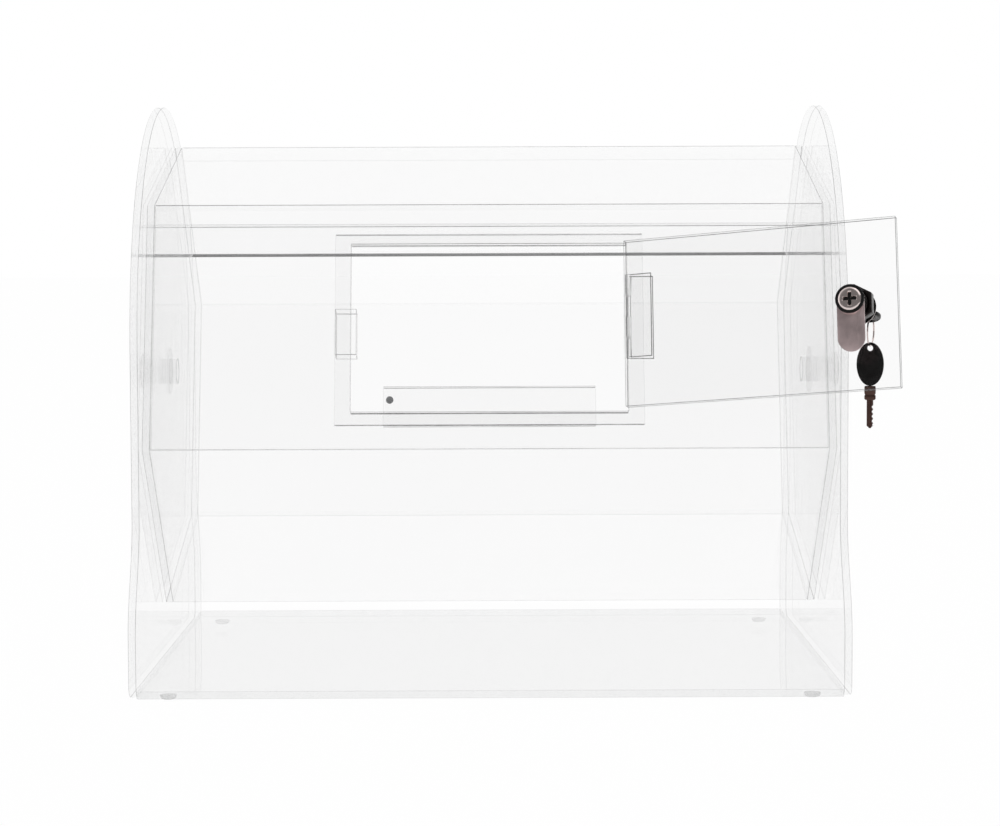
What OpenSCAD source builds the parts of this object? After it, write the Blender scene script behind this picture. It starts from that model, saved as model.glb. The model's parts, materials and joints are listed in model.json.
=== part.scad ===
// Clear acrylic raffle drum: a six-sided drum on two stub axles between two
// arched end panels, with a hinged, lockable door in one wall of the drum.
// Millimetres. The origin is on the table under the middle of the stand, the
// drum's axis runs along X, the front faces -Y and Z is up.

/* [Stand] */
// Width of the stand over its two end panels
stand_w = 508; // [440:1:600]
// Thickness of the end panels and the base plate
stand_sheet = 5.6; // [4:0.1:8]
// How far the arch of an end panel reaches past the circle of the drum's corners
arch_margin = 1; // [0:0.5:5]
// Height of the arch's centre above the drum's axis
arch_rise = 22; // [10:1:40]
// Height of the drum's axis above the underside of the stand
axle_h = 221; // [205:1:260]
// How far the foot of an end panel spreads past its arch, front and back
foot_spread = 27; // [5:1:40]
// Height of the upright edge of the spread foot
foot_rise = 44; // [20:1:60]
// Height over which an end panel widens from its sides to its foot
flare_h = 77; // [50:1:90]
// Radius of the bottom corners of an end panel
panel_corner_r = 9; // [3:0.5:15]
// Width of the rear brace that ties the two end panels together
brace_w = 28; // [15:1:40]
// Height angle of the rear brace, seen from the arch's centre
brace_angle = 26.5; // [15:0.5:40]

/* [Feet] */
// Diameter of a round bumper foot
foot_d = 12; // [8:0.5:20]
// Thickness of a bumper foot
foot_t = 3; // [2:0.5:6]
// Distance from a foot's centre to the edges of the base plate
foot_inset = 20; // [14:1:40]

/* [Drum] */
// Distance from the drum's axis to its outer corners
drum_r = 180; // [150:1:185]
// Thickness of the drum's walls and door
wall_t = 5.6; // [4:0.1:8]
// Thickness of the drum's end plates
drum_end_t = 5.6; // [4:0.1:8]
// Gap between a drum end plate and the stand's end panel
side_gap = 1.2; // [1:0.1:4]
// Lean of the door wall back from upright, at rest
door_lean = 14.4; // [0:0.1:30]

/* [Axles] */
// Diameter of a stub axle
axle_d = 19; // [12:0.5:24]
// Radial running clearance of an axle in its end panel
axle_clear = 0.06; // [0.03:0.01:0.1]
// Diameter of the round knob outside each end panel
knob_d = 27; // [25:0.5:40]
// Length of a knob
knob_l = 15; // [8:0.5:30]
// Gap between a knob and its end panel
knob_gap = 0.4; // [0.3:0.1:2]
// Diameter of the thin washer between drum and end panel
washer_d = 36; // [30:1:60]

/* [Doorway] */
// Width of the door
door_w = 196.9; // [150:0.1:220]
// Height of the door
door_h = 121.3; // [90:0.1:133]
// Gap between the door and the edge of the doorway
door_gap = 0.8; // [0.5:0.1:2]
// Angle at which the door stands open at rest
door_open = 160.4; // [0:0.1:165]
// Thickness of the frame bonded round the doorway inside the wall
frame_t = 3; // [2:0.1:5]
// Width of the frame at the sides of the doorway
frame_side = 12; // [6:0.5:20]
// Width of the frame above and below the doorway
frame_end = 9; // [5:0.1:12]
// How far the doorway's middle lies below the middle of its wall
doorway_drop = 1; // [0:0.1:5]

/* [Stop and strike] */
// Length of the stop along the bottom of the doorway
stop_l = 153; // [80:1:180]
// How far the stop stands up into the doorway
stop_lip = 20; // [8:0.5:22]
// Thickness of the stop
stop_t = 5.6; // [3:0.1:8]
// Diameter of the round bumper that the door closes on
bumper_d = 5.4; // [4:0.1:8]
// Distance from the end of the stop to the bumper's centre
bumper_inset = 5; // [4:0.5:20]
// Gap between the closed door and the bumper
bumper_gap = 0.3; // [0.2:0.1:1]
// Height of the block that the lock's cam turns behind
strike_h = 34; // [20:1:60]
// How far the strike stands past the edge of the doorway
strike_lip = 3.7; // [2:0.1:6]
// Thickness of the strike
strike_t = 16; // [4:0.5:20]

/* [Hinge] */
// Height of the hinge
hinge_h = 61; // [40:1:90]
// Height of the hinge's middle above the door's middle
hinge_lift = 6.5; // [0:0.5:10]
// Width of one hinge leaf, from the pin's axis
leaf_w = 19; // [12:0.5:26]
// Thickness of a hinge leaf
leaf_t = 1.6; // [1:0.1:2.4]
// Outer diameter of the hinge knuckles
knuckle_d = 5.6; // [5:0.1:8]
// Diameter of the hinge pin
pin_d = 2.4; // [1.6:0.1:3]
// Radial running clearance of the pin in the door's knuckles
pin_clear = 0.05; // [0.02:0.01:0.1]
// Gap between a knuckle and whatever turns past it
knuckle_gap = 0.4; // [0.3:0.05:0.8]
// Number of knuckles, shared in turn by the two leaves
knuckles = 4; // [2:1:8]

/* [Lock] */
// Distance from the door's free edge to the lock's axis
lock_inset = 29; // [26:0.5:33]
// Depth of the lock's axis below the door's middle
lock_drop = 1.2; // [0:0.1:5]
// Diameter of the lock's barrel
barrel_d = 18.6; // [16:0.1:20]
// Diameter of the round flange outside the door
flange_d = 25; // [22:0.5:30]
// Thickness of the flange
flange_t = 2; // [1.5:0.1:3]
// Size of the hexagonal fixing nut across its flats
nut_af = 24; // [22:0.5:28]
// Thickness of the fixing nut
nut_t = 8; // [3:0.1:10]
// Diameter of the turning plug
plug_d = 11; // [9:0.1:13]
// Radial running clearance of the plug in the barrel
plug_clear = 0.05; // [0.02:0.01:0.1]
// Diameter of the plug's shaft where it carries the cam
cam_shaft_d = 7; // [5:0.1:8]
// Reach of the cam from the lock's axis
cam_reach = 36.5; // [34:0.5:38]
// Width of the cam
cam_w = 19; // [12:0.5:20]
// Thickness of the cam
cam_t = 2; // [1.5:0.1:3]
// Gap between the cam and the strike it turns behind
cam_gap = 0.7; // [0.3:0.1:2]
// Diameter of the round cap nut that holds the cam
cap_d = 20.4; // [16:0.1:22]
// Thickness of the cap nut
cap_t = 3; // [2:0.1:5]

/* [Keys] */
// Length of a key's oval head
bow_l = 31; // [24:0.5:40]
// Width of a key's head
bow_w = 19.5; // [16:0.5:26]
// Thickness of a key's head
bow_t = 3; // [2:0.1:3.2]
// Diameter of the hole in a key's head
bow_hole_d = 7; // [7:0.1:8]
// Width of the rim between the hole and the end of the head
bow_rim = 1.9; // [1.5:0.1:2.2]
// Length of the metal collar between head and blade
collar_l = 10; // [4:0.5:12]
// Width of the collar
collar_w = 8; // [6:0.5:10]
// Length of a key's blade
blade_l = 20; // [14:0.5:20]
// Width of a key's blade
blade_w = 4.4; // [3:0.1:6]
// Thickness of a key's blade
blade_t = 1.8; // [1.2:0.1:2.4]
// Gap between the blade and its keyway, all round
key_gap = 0.25; // [0.1:0.05:0.4]
// Radius of the key ring, to the middle of its wire
ring_r = 10.5; // [10.5:0.5:14]
// Thickness of the key ring's wire
ring_wire = 1.2; // [0.8:0.1:1.3]
// Sideways lean of the key ring at rest
ring_lean = 6; // [0:1:15]

/* [Hidden] */

// Curve smoothness of rings and discs
$fn = 64;
// Sides of the drum
SIDES = 6;
// Smallest gap that keeps two moving pieces apart
CLEAR = 0.3;
// Extra length that carries a cut through its piece
CUT = 1;

panel_in = stand_w / 2 - stand_sheet;
arch_r = drum_r + arch_margin;
axle_z = foot_t + axle_h;
foot_half = arch_r + foot_spread;

// Faces of the drum, measured from its axis or its middle
drum_half = panel_in - side_gap;
wall_half = drum_half - drum_end_t;
knob_in = stand_w / 2 + knob_gap;
half_side_angle = 180 / SIDES;
wall_face = drum_r * cos(half_side_angle);
wall_back = wall_face - wall_t;

doorway_w = door_w + 2 * door_gap;
doorway_h = door_h + 2 * door_gap;
frame_back = wall_back - frame_t;

// Hinge axis: over the gap beside the door, proud of the wall
hinge_x = door_w / 2 + door_gap / 2;
hinge_y = -(wall_face + knuckle_d / 2 + CLEAR);
knuckle_l = hinge_h / knuckles;

// Lock: distances inwards from the door's outer face
lock_x = -door_w / 2 + lock_inset;
cam_depth = wall_t + frame_t + strike_t + cam_gap;
barrel_l = cam_depth - CLEAR;

// Hexagon widths across the flats become circle diameters across the corners
function across_corners(flats) = flats / cos(30);
// Smooth step from 0 to 1
function ease(u) = u * u * (3 - 2 * u);
// Half depth of an end panel at a height above its underside
function panel_half(h) =
    arch_r + foot_spread * ease(min(1, max(0, (foot_rise + flare_h - h) / flare_h)));

// Keys: distances along a key from the tip of its blade
head_start = blade_l + collar_l;
bow_hole_x = head_start + bow_l - bow_rim - bow_hole_d / 2;
key_tip = flange_t + CLEAR - blade_l;

// Key ring: it hangs by a chord that runs from the hole out past the head
ring_hole_offset = 0.8;
ring_chord_x = key_tip + bow_hole_x - ring_hole_offset;
ring_mid_x = 0.7 * ring_r;
ring_mid_z = -sqrt(ring_r * ring_r - ring_mid_x * ring_mid_x);
// Height of the ring's wire above the centre of the spare key's hole
wire_rise = bow_hole_d / 2 - ring_wire / 2 - 0.15;
// Which way is down on the open door: outwards lean, then lean to the hinge
hang_out = atan(-cos(door_open) * tan(door_lean));
hang_side = atan(sin(door_open) * tan(door_lean));

// ---- Frames ----

module in_drum() {
    translate([0, 0, axle_z]) rotate([-door_lean, 0, 0]) children();
}

// The doorway's middle, on the drum's axis
module in_doorway() {
    in_drum() translate([0, 0, -doorway_drop]) children();
}

// The door and all on it, drawn shut and turned to its rest angle
module in_door() {
    in_doorway()
        translate([hinge_x, hinge_y, 0]) rotate([0, 0, door_open])
        translate([-hinge_x, -hinge_y, 0]) children();
}

// Lock frame: +X along the axis out of the door, +Z up the door
module in_lock() {
    in_door() translate([lock_x, -wall_face, -lock_drop]) rotate([0, 0, -90]) children();
}

// Disc or tube along +X from x0, of length l
module along_x(x0, l, d) {
    translate([x0, 0, 0]) rotate([0, 90, 0]) cylinder(d = d, h = l);
}

// ---- Stand ----

// Outline of an end panel, as [depth, height above its underside]
function panel_outline() = let (
    arc_h = axle_h + arch_rise,
    side = [for (i = [0:16]) let (h = foot_rise + flare_h * i / 16) [panel_half(h), h]],
    corner = [for (a = [-90:15:0])
        [foot_half - panel_corner_r + panel_corner_r * cos(a),
         panel_corner_r + panel_corner_r * sin(a)]],
    arch = [for (a = [0:3:180]) [arch_r * cos(a), arc_h + arch_r * sin(a)]],
    back = concat(corner, side)
) concat(back, arch, [for (i = [len(back) - 1:-1:0]) [-back[i][0], back[i][1]]]);

module end_panel(side) {
    color([0.86, 0.88, 0.88, 0.35])
    difference() {
        translate([side > 0 ? panel_in : -panel_in - stand_sheet, 0, foot_t])
            rotate([90, 0, 90]) linear_extrude(stand_sheet) polygon(panel_outline());
        translate([0, 0, axle_z])
            along_x(side > 0 ? panel_in - CUT : -stand_w / 2 - CUT,
                    stand_sheet + 2 * CUT, axle_d + 2 * axle_clear);
    }
}

module left_end_panel() { end_panel(-1); }

module right_end_panel() { end_panel(1); }

module base_plate() {
    color([0.86, 0.88, 0.88, 0.35])
    translate([-panel_in, -foot_half, foot_t]) cube([2 * panel_in, 2 * foot_half, stand_sheet]);
}

// Strip between the end panels, flush with the arch's edge along both its long edges
module rear_brace() {
    outer_face = sqrt(arch_r * arch_r - brace_w * brace_w / 4);
    color([0.86, 0.88, 0.88, 0.35])
    translate([0, 0, axle_z + arch_rise]) rotate([brace_angle, 0, 0])
        translate([-panel_in, outer_face - stand_sheet, -brace_w / 2])
        cube([2 * panel_in, stand_sheet, brace_w]);
}

module bumper_feet() {
    color([0.8, 0.8, 0.78, 0.6])
    for (x = [-1, 1], y = [-1, 1])
        translate([x * (panel_in - foot_inset), y * (foot_half - foot_inset), 0])
            cylinder(d1 = foot_d * 0.8, d2 = foot_d, h = foot_t);
}

// ---- Drum ----

module drum_end(side) {
    color([0.86, 0.88, 0.88, 0.35])
    in_drum() difference() {
        translate([side > 0 ? wall_half : -drum_half, 0, 0])
            rotate([90, 0, 90]) linear_extrude(drum_end_t)
            polygon([for (i = [0:SIDES - 1]) let (a = 90 + i * 360 / SIDES)
                [drum_r * cos(a), drum_r * sin(a)]]);
        along_x(side > 0 ? wall_half - CUT : -drum_half - CUT, drum_end_t + 2 * CUT, axle_d);
    }
}

module left_drum_end() { drum_end(-1); }

module right_drum_end() { drum_end(1); }

// Wall number k, counted from the door wall over the top, with mitred edges
module wall_blank(k) {
    t = tan(half_side_angle);
    rotate([-k * 360 / SIDES, 0, 0])
        translate([-wall_half, 0, 0]) rotate([90, 0, 90]) linear_extrude(2 * wall_half)
        polygon([[-wall_face, -wall_face * t], [-wall_face, wall_face * t],
                 [-wall_back, wall_back * t], [-wall_back, -wall_back * t]]);
}

module plain_wall(k) {
    color([0.86, 0.88, 0.88, 0.35]) in_drum() wall_blank(k);
}

module top_wall() { plain_wall(1); }

module upper_rear_wall() { plain_wall(2); }

module lower_rear_wall() { plain_wall(3); }

module bottom_wall() { plain_wall(4); }

module lower_front_wall() { plain_wall(5); }

module door_wall() {
    color([0.86, 0.88, 0.88, 0.35])
    in_drum() difference() {
        wall_blank(0);
        translate([-doorway_w / 2, -wall_face - CUT, -doorway_h / 2 - doorway_drop])
            cube([doorway_w, wall_t + 2 * CUT, doorway_h]);
    }
}

module door_frame() {
    color([0.82, 0.84, 0.84, 0.4])
    in_doorway() difference() {
        translate([-doorway_w / 2 - frame_side, -wall_back, -doorway_h / 2 - frame_end])
            cube([doorway_w + 2 * frame_side, frame_t, doorway_h + 2 * frame_end]);
        translate([-doorway_w / 2, -wall_back - CUT, -doorway_h / 2])
            cube([doorway_w, frame_t + 2 * CUT, doorway_h]);
    }
}

module door_stop() {
    color([0.82, 0.84, 0.84, 0.4])
    in_doorway() translate([-stop_l / 2, -frame_back, -doorway_h / 2 - frame_end])
        cube([stop_l, stop_t, frame_end + stop_lip]);
}

module stop_bumper() {
    color([0.35, 0.36, 0.37])
    in_doorway()
        translate([-stop_l / 2 + bumper_inset, -frame_back, -doorway_h / 2 + stop_lip / 2])
        rotate([90, 0, 0]) cylinder(d1 = bumper_d, d2 = bumper_d * 0.7, h = frame_t - bumper_gap);
}

module lock_strike() {
    color([0.82, 0.84, 0.84, 0.4])
    in_doorway() translate([-doorway_w / 2 - frame_side, -frame_back, -strike_h / 2 - lock_drop])
        cube([frame_side + strike_lip, strike_t, strike_h]);
}

// ---- Axles ----

module drum_side(side) {
    in_drum() mirror([side < 0 ? 1 : 0, 0, 0]) children();
}

module stub_axle(side) {
    color([0.86, 0.88, 0.88, 0.5])
    drum_side(side) along_x(wall_half, knob_in - wall_half + knob_l / 2, axle_d);
}

module left_axle() { stub_axle(-1); }

module right_axle() { stub_axle(1); }

module washer(side) {
    color([0.9, 0.9, 0.88, 0.6])
    drum_side(side) difference() {
        along_x(drum_half, side_gap - CLEAR, washer_d);
        along_x(drum_half - CUT, side_gap + 2 * CUT, axle_d);
    }
}

module left_washer() { washer(-1); }

module right_washer() { washer(1); }

// Round knob with a bevelled outer rim, bored to sit on the axle
module knob(side) {
    bevel = knob_d * 0.05;
    color([0.8, 0.83, 0.83, 0.5])
    drum_side(side) difference() {
        translate([knob_in, 0, 0]) rotate([0, 90, 0]) rotate_extrude()
            polygon([[0, 0], [knob_d / 2, 0], [knob_d / 2, knob_l - bevel],
                     [knob_d / 2 - bevel, knob_l], [0, knob_l]]);
        along_x(knob_in - CUT, knob_l / 2 + CUT, axle_d);
    }
}

module left_knob() { knob(-1); }

module right_knob() { knob(1); }

// ---- Hinge ----

// One leaf with its share of the knuckles; side is 1 on the wall, -1 on the door.
// Drawn round the pin's axis, with the door shut.
module hinge_leaf(side, bore_d) {
    first = side > 0 ? 0 : 1;
    face = knuckle_d / 2 + CLEAR;
    difference() {
        union() {
            translate([side > 0 ? 0 : -leaf_w, face - leaf_t, -hinge_h / 2])
                cube([leaf_w, leaf_t, hinge_h]);
            for (i = [first:2:knuckles - 1])
                translate([0, 0, i * knuckle_l - hinge_h / 2])
                    cylinder(d = knuckle_d, h = knuckle_l);
        }
        for (i = [1 - first:2:knuckles - 1])
            translate([0, 0, i * knuckle_l - hinge_h / 2 - knuckle_gap / 2])
                cylinder(r = face + CLEAR, h = knuckle_l + knuckle_gap);
        translate([0, 0, -hinge_h / 2 - CUT]) cylinder(d = bore_d, h = hinge_h + 2 * CUT);
    }
}

module hinge_wall_leaf() {
    color([0.8, 0.83, 0.83, 0.45])
    in_doorway() translate([hinge_x, hinge_y, hinge_lift]) hinge_leaf(1, pin_d);
}

module hinge_pin() {
    color([0.75, 0.78, 0.78, 0.6])
    in_doorway() translate([hinge_x, hinge_y, hinge_lift - hinge_h / 2])
        cylinder(d = pin_d, h = hinge_h);
}

module hinge_door_leaf() {
    color([0.8, 0.83, 0.83, 0.45])
    in_door() translate([hinge_x, hinge_y, hinge_lift]) hinge_leaf(-1, pin_d + 2 * pin_clear);
}

// ---- Door and lock ----

module door_panel() {
    color([0.86, 0.88, 0.88, 0.35])
    in_door() difference() {
        translate([-door_w / 2, -wall_face, -door_h / 2]) cube([door_w, wall_t, door_h]);
        translate([lock_x, -wall_face - CUT, -lock_drop]) rotate([-90, 0, 0])
            cylinder(d = barrel_d + 2 * CLEAR, h = wall_t + 2 * CUT);
    }
}

module lock_barrel() {
    color([0.72, 0.7, 0.68])
    in_lock() difference() {
        union() {
            along_x(0, flange_t, flange_d);
            along_x(-barrel_l, barrel_l, barrel_d);
        }
        along_x(-barrel_l - CUT, barrel_l + flange_t + 2 * CUT, plug_d + 2 * plug_clear);
    }
}

module lock_nut() {
    color([0.45, 0.43, 0.42])
    in_lock() difference() {
        translate([-wall_t - nut_t, 0, 0]) rotate([0, 90, 0])
            cylinder(d = across_corners(nut_af), h = nut_t, $fn = 6);
        along_x(-wall_t - nut_t - CUT, nut_t + 2 * CUT, barrel_d);
    }
}

// Plug with a keyway from its face, and a thinner shaft that carries the cam
module lock_plug() {
    keyway_w = blade_w + 2 * key_gap;
    keyway_t = blade_t + 2 * key_gap;
    color([0.78, 0.76, 0.74])
    in_lock() difference() {
        union() {
            along_x(-cam_depth, cam_depth + flange_t, plug_d);
            along_x(-cam_depth - cam_t - cap_t / 2, cam_t + cap_t / 2 + CUT, cam_shaft_d);
        }
        translate([flange_t - blade_l - key_gap, -keyway_w / 2, -keyway_t / 2])
            cube([blade_l + key_gap + CUT, keyway_w, keyway_t]);
    }
}

// Flat lever with a round tip; it hangs down when the lock is open
module lock_cam() {
    color([0.7, 0.66, 0.64])
    in_lock() difference() {
        union() {
            along_x(-cam_depth - cam_t, cam_t, barrel_d);
            translate([0, 0, cam_w / 2 - cam_reach]) along_x(-cam_depth - cam_t, cam_t, cam_w);
            translate([-cam_depth - cam_t, -cam_w / 2, cam_w / 2 - cam_reach])
                cube([cam_t, cam_w, cam_reach - cam_w / 2]);
        }
        along_x(-cam_depth - cam_t - CUT, cam_t + 2 * CUT, cam_shaft_d);
    }
}

module cam_cap_nut() {
    color([0.8, 0.78, 0.76])
    in_lock() difference() {
        along_x(-cam_depth - cam_t - cap_t, cap_t, cap_d);
        along_x(-cam_depth - cam_t - cap_t / 2, cap_t / 2 + CUT, cam_shaft_d);
    }
}

// ---- Keys ----
// A key lies along +X with the tip of its blade at 0 and its head flat in XY.

module blade_and_collar() {
    notch = blade_w * 0.3;
    color([0.6, 0.58, 0.56])
    difference() {
        union() {
            translate([0, -blade_w / 2, -blade_t / 2]) cube([blade_l, blade_w, blade_t]);
            translate([blade_l, -collar_w / 2, -bow_t / 2]) cube([collar_l, collar_w, bow_t]);
        }
        for (i = [0:2])
            translate([blade_l * (0.2 + 0.2 * i), blade_w / 2 - notch / 2, -blade_t])
                rotate([0, 0, 45]) cube([notch, notch, 2 * blade_t]);
    }
}

// Oval head with a hole near its far end
module oval_head() {
    color([0.08, 0.08, 0.08])
    difference() {
        translate([head_start + bow_l / 2, 0, -bow_t / 2]) linear_extrude(bow_t)
            polygon([for (a = [0:6:354]) [bow_l / 2 * cos(a), bow_w / 2 * sin(a)]]);
        translate([head_start - bow_l, -bow_w, -bow_t]) cube([bow_l, 2 * bow_w, 2 * bow_t]);
        translate([bow_hole_x, 0, -bow_t]) cylinder(d = bow_hole_d, h = 2 * bow_t);
    }
}

// Origin on the chord that the ring swings about, in the hole of the first key
module in_ring() {
    in_lock() translate([ring_chord_x, 0, 0]) rotate([ring_lean, 0, 0]) children();
}

// The spare key hangs head up from the lowest point of the ring
module in_spare_key() {
    in_ring()
        translate([ring_mid_x + ring_r * sin(hang_out), 0, ring_mid_z - ring_r * cos(hang_out)])
        rotate([0, -hang_out, 0]) rotate([hang_side - ring_lean, 0, 0])
        rotate([0, -90, 0]) translate([-bow_hole_x - wire_rise, 0, 0]) children();
}

module key_blade() { in_lock() translate([key_tip, 0, 0]) blade_and_collar(); }

module key_head() { in_lock() translate([key_tip, 0, 0]) oval_head(); }

module key_ring() {
    color([0.75, 0.75, 0.75])
    in_ring() translate([ring_mid_x, 0, ring_mid_z]) rotate([90, 0, 0])
        rotate_extrude() translate([ring_r, 0]) circle(d = ring_wire, $fn = 16);
}

module spare_key_blade() { in_spare_key() blade_and_collar(); }

module spare_key_head() { in_spare_key() oval_head(); }

left_end_panel();
right_end_panel();
base_plate();
rear_brace();
bumper_feet();
left_drum_end();
right_drum_end();
top_wall();
upper_rear_wall();
lower_rear_wall();
bottom_wall();
lower_front_wall();
door_wall();
door_frame();
door_stop();
stop_bumper();
lock_strike();
left_axle();
right_axle();
left_washer();
right_washer();
left_knob();
right_knob();
hinge_wall_leaf();
hinge_pin();
hinge_door_leaf();
door_panel();
lock_barrel();
lock_nut();
lock_plug();
lock_cam();
cam_cap_nut();
key_blade();
key_head();
key_ring();
spare_key_blade();
spare_key_head();
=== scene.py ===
"""Looks of a clear acrylic raffle drum: polished sheet, a plated cam lock, two keys and soft feet.

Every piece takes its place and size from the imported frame, in metres, Z up, front towards -Y.
"""

import json
import math

import bmesh
import bpy
import numpy as np
from mathutils import Matrix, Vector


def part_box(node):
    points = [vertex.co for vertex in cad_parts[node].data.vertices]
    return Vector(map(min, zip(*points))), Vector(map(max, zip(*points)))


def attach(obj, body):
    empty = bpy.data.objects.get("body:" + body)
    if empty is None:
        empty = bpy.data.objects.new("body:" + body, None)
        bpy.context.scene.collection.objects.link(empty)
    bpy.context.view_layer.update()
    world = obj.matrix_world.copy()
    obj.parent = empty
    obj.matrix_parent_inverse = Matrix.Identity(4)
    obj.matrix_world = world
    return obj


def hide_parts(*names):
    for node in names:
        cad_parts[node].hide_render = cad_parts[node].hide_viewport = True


bl_info = {
    "name": "Clear raffle drum",
    "version": (1, 0, 0),
    "blender": (4, 5, 0),
    "location": "View3D > Sidebar > Raffle drum",
    "description": "Dresses the packed raffle drum with its sheet, lock, keys and studio",
    "category": "Object",
}

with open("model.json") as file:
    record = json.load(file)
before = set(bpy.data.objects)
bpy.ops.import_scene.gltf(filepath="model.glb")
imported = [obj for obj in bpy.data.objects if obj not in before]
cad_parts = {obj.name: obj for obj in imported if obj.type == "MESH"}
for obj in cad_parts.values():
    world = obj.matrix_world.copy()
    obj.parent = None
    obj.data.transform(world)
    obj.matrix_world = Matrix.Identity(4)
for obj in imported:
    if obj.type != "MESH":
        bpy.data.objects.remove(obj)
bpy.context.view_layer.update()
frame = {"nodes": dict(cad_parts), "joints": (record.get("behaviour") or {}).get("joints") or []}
NODES = frame["nodes"]
JOINTS = {joint["name"]: joint for joint in frame["joints"]}
TURN = 2 * math.pi

# Corners of a CAD mesh that are closer than this are one corner
MERGE_DISTANCE = 1e-6
# Faces that turn by less than this are one flat face
FLAT_ANGLE = math.radians(0.3)
# A face is a cut face if the cosine of its turn from the broad face is below the first of these, and looks
# down if its normal's z is below the second; a bevel runs along x if its normal's x is below the third
STEEP_COSINE = 0.9
LOOKS_DOWN = -0.5
ALONG_X = 0.15


# ---- Seats: sets of axes on the object ----


def unit(vector):
    """The vector scaled to length one."""
    vector = np.asarray(vector, float)
    return vector / np.linalg.norm(vector)


class Seat:
    """A starting point and three right-angled unit axes, kept as rows; x is trued up square to z."""

    def __init__(self, start, x_axis, z_axis):
        z = unit(z_axis)
        x_axis = np.asarray(x_axis, float)
        x = unit(x_axis - (x_axis @ z) * z)
        self.start = np.asarray(start, float)
        self.axes = np.stack([x, np.cross(z, x), z])

    def out(self, local):
        """Points given along the seat's axes, as points of the object."""
        return self.start + np.asarray(local, float) @ self.axes

    def into(self, points):
        """Points of the object, measured along the seat's axes."""
        return (np.asarray(points, float) - self.start) @ self.axes.T


def points_of(node):
    """All corners of a CAD node's mesh as an array of x, y, z."""
    mesh = NODES[node].data
    flat = np.empty(3 * len(mesh.vertices), np.float32)
    mesh.vertices.foreach_get("co", flat)
    return flat.reshape(-1, 3).astype(float)


def measure(seat, node):
    """Lowest and highest reach of a CAD node along a seat's axes."""
    local = seat.into(points_of(node))
    return local.min(axis=0), local.max(axis=0)


def middle(node):
    """Middle of a CAD node's box."""
    low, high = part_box(node)
    return (np.array(low) + np.array(high)) / 2


HINGE_AXIS = JOINTS["door_swing"]["axis"]
DRUM = Seat(JOINTS["drum_spin"]["pos_m"], (1, 0, 0), HINGE_AXIS)
LOCK = Seat(JOINTS["lock_turn"]["pos_m"], JOINTS["key_pull"]["axis"], HINGE_AXIS)


# ---- Mesh shells ----


def loft(rows, slots=0, wrap=False, caps=(0, 0)):
    """A closed shell through rows of points: neighbouring rows are joined by quads round every column.

    With wrap the last row joins the first, as on a tube's section; otherwise each end row is closed by one
    flat face. slots gives the material of each band between rows, and caps those of the end faces.
    """
    rows = np.asarray(rows, float)
    count, sides = rows.shape[:2]
    bands = count if wrap else count - 1
    row = np.arange(bands)[:, None] * sides
    after = (np.arange(bands)[:, None] + 1) % count * sides
    here = np.arange(sides)[None, :]
    beside = (here + 1) % sides
    quads = np.stack([row + here, row + beside, after + beside, after + here], axis=-1).reshape(-1, 4)
    band_slots = np.broadcast_to(np.asarray(slots), (bands,))
    faces, marks = quads.tolist(), np.repeat(band_slots, sides).tolist()
    if not wrap:
        faces += [list(range(sides))[::-1], list(range((count - 1) * sides, count * sides))]
        marks += list(caps)
    return rows.reshape(-1, 3), faces, marks


def joined(shells):
    """Several shells as one list of points, faces and material marks."""
    points, faces, marks, first = [], [], [], 0
    for shell_points, shell_faces, shell_marks in shells:
        points.append(shell_points)
        faces += [[first + corner for corner in face] for face in shell_faces]
        marks += shell_marks
        first += len(shell_points)
    return np.concatenate(points), faces, marks


def turned(seat, profile, sides=64, slots=0, wrap=False):
    """A turned shell about the seat's x axis: each profile pair is a distance along the axis and a radius.

    Round each ring y is the radius times the angle's cosine, and z the radius times its sine.
    """
    profile = np.asarray(profile, float)
    angle = np.linspace(0, TURN, sides, endpoint=False)[None, :]
    along, radius = profile[:, :1], profile[:, 1:2]
    ring = np.stack(np.broadcast_arrays(along, radius * np.cos(angle), radius * np.sin(angle)), axis=-1)
    return loft(seat.out(ring), slots, wrap)


def empty_mesh(name, materials):
    """A new mesh that holds these materials."""
    mesh = bpy.data.meshes.new(name)
    for material in materials:
        mesh.materials.append(material)
    return mesh


def finished(mesh, name, body, nodes, sharp=35):
    """The piece made from a mesh: smooth except at sharp corners, riding on its body in the nodes' place."""
    mesh.shade_smooth()
    mesh.set_sharp_from_angle(angle=math.radians(sharp))
    piece = bpy.data.objects.new(name, mesh)
    bpy.context.scene.collection.objects.link(piece)
    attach(piece, body)
    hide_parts(*nodes)
    return piece


def piece_from(name, shells, materials, body, nodes, sharp=35):
    """A piece from closed shells, with its faces turned outwards."""
    points, faces, marks = joined(shells)
    mesh = empty_mesh(name, materials)
    mesh.from_pydata(points.tolist(), [], faces)
    mesh.polygons.foreach_set("material_index", marks)
    work = bmesh.new()
    work.from_mesh(mesh)
    bmesh.ops.recalc_face_normals(work, faces=work.faces)
    work.to_mesh(mesh)
    work.free()
    return finished(mesh, name, body, nodes, sharp)


def merged_copy(node, hair):
    """A CAD node's mesh with its doubles merged and flat faces made whole, drawn in by a hair."""
    work = bmesh.new()
    work.from_mesh(NODES[node].data)
    bmesh.ops.remove_doubles(work, verts=work.verts, dist=MERGE_DISTANCE)
    bmesh.ops.dissolve_limit(work, angle_limit=FLAT_ANGLE, verts=work.verts, edges=work.edges)
    work.normal_update()
    for point in work.verts:
        point.co -= point.normal * point.calc_shell_factor() * hair
    return work


def mark_cut_faces(work):
    """Broad faces keep the first material; cut faces get the second, and the third where they look down,
    which on some sheets is a darker finish that paints shade onto the under faces.
    """
    broad = max(work.faces, key=lambda face: face.calc_area()).normal.copy()
    for face in work.faces:
        cut = abs(face.normal.dot(broad)) < STEEP_COSINE
        face.material_index = int(cut) + int(cut and face.normal.z < LOOKS_DOWN)


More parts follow.
